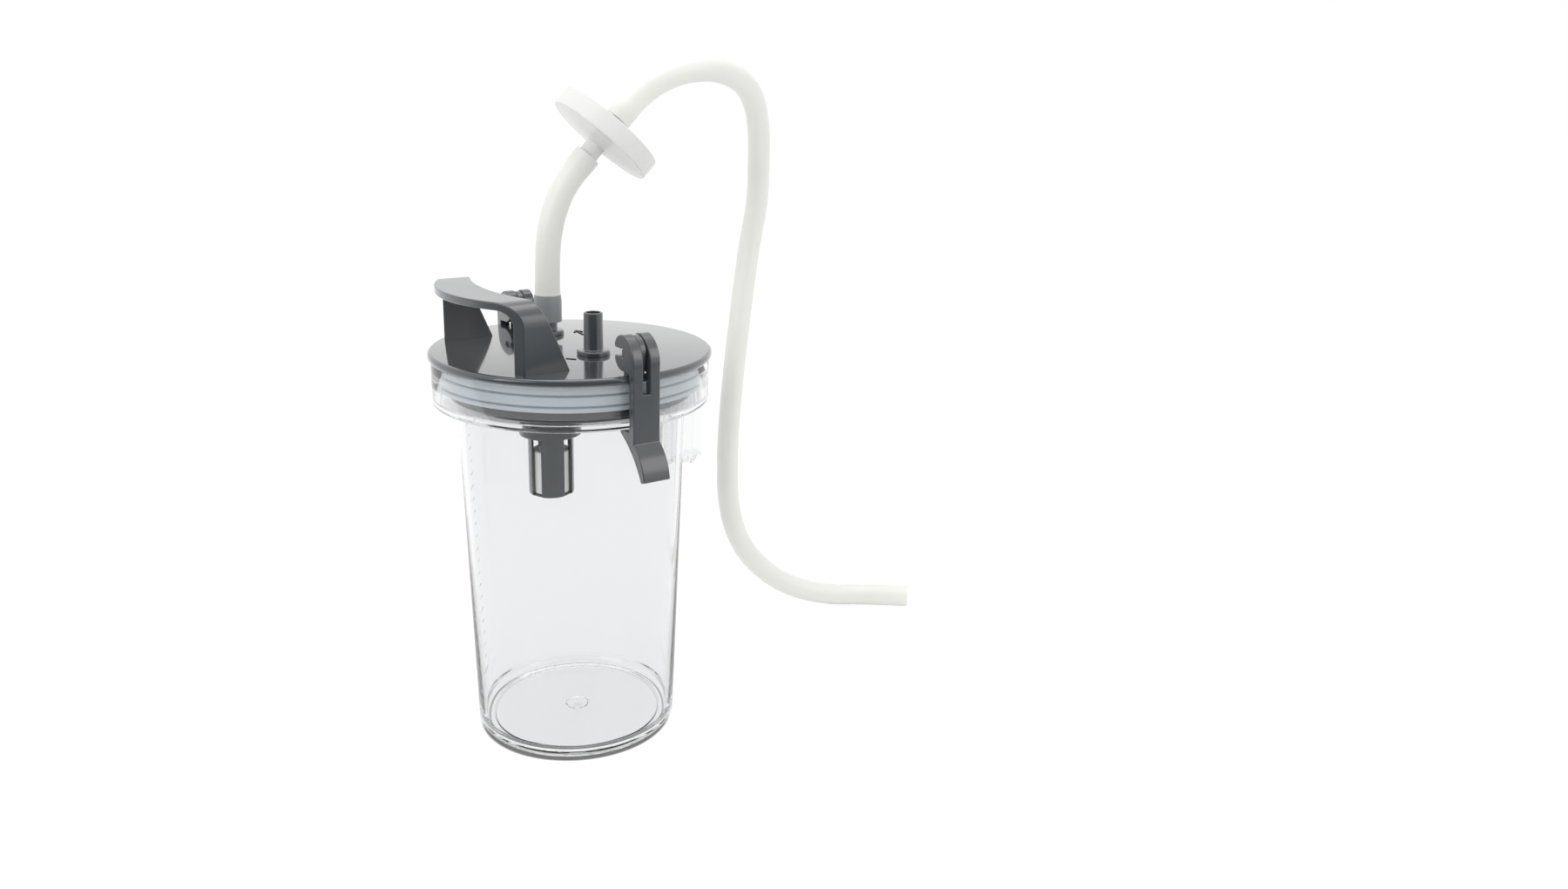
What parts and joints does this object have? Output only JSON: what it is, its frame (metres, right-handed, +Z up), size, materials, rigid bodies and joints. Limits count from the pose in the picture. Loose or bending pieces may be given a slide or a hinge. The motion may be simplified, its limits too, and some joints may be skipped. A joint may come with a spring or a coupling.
{
  "type": "suction canister",
  "caption": "Clear tapered suction jar with a latched grey lid, carrying handle, float shut-off cage and a hose with an inline disc filter.",
  "frame": {"origin": "centre of the jar's foot ring, on the surface that it stands on", "axes": "+Z up the jar's axis, +Y towards the hanger tongue, -Y towards the carrying handle, +X towards the front latch"},
  "size_m": [0.1558, 0.2933, 0.3178],
  "materials": {
    "clear_plastic": "clear moulded plastic, polished",
    "grey_plastic": "moulded grey plastic with a faint satin sheen",
    "seal_rubber": "soft pale blue-grey silicone",
    "white_plastic": "white moulded plastic",
    "hose_rubber": "milky translucent silicone tube",
    "filter_plastic": "clear to milky moulded plastic",
    "filter_paper": "white filter membrane"
  },
  "bodies": {
    "canister": {"jar": "clear_plastic", "jar_collar": "clear_plastic", "jar_hanger": "clear_plastic", "lid": "grey_plastic", "lid_gasket": "seal_rubber", "patient_connector": "grey_plastic", "vacuum_connector": "grey_plastic", "float_cage": "grey_plastic", "hose_lower": "hose_rubber", "hose_upper": "hose_rubber", "filter_inlet_shell": "filter_plastic", "filter_outlet_shell": "filter_plastic", "filter_membrane": "filter_paper"},
    "front_latch": {"latch_front": "grey_plastic"},
    "rear_latch": {"latch_rear": "grey_plastic"},
    "float_valve": {"float": "white_plastic", "float_seal": "seal_rubber"}
  },
  "joints": [
    {"name": "front_latch_hinge", "type": "hinge", "parent": "canister", "child": "front_latch", "pos_m": [0.0593, 0, 0.1955], "axis": [0, -1, 0], "range_deg": [0, 100]},
    {"name": "rear_latch_hinge", "type": "hinge", "parent": "canister", "child": "rear_latch", "pos_m": [-0.0593, 0, 0.1955], "axis": [0, 1, 0], "range_deg": [0, 100]},
    {"name": "float_lift", "type": "slide", "parent": "canister", "child": "float_valve", "axis": [0, 0, 1], "range_m": [0, 0.01]}
  ]
}
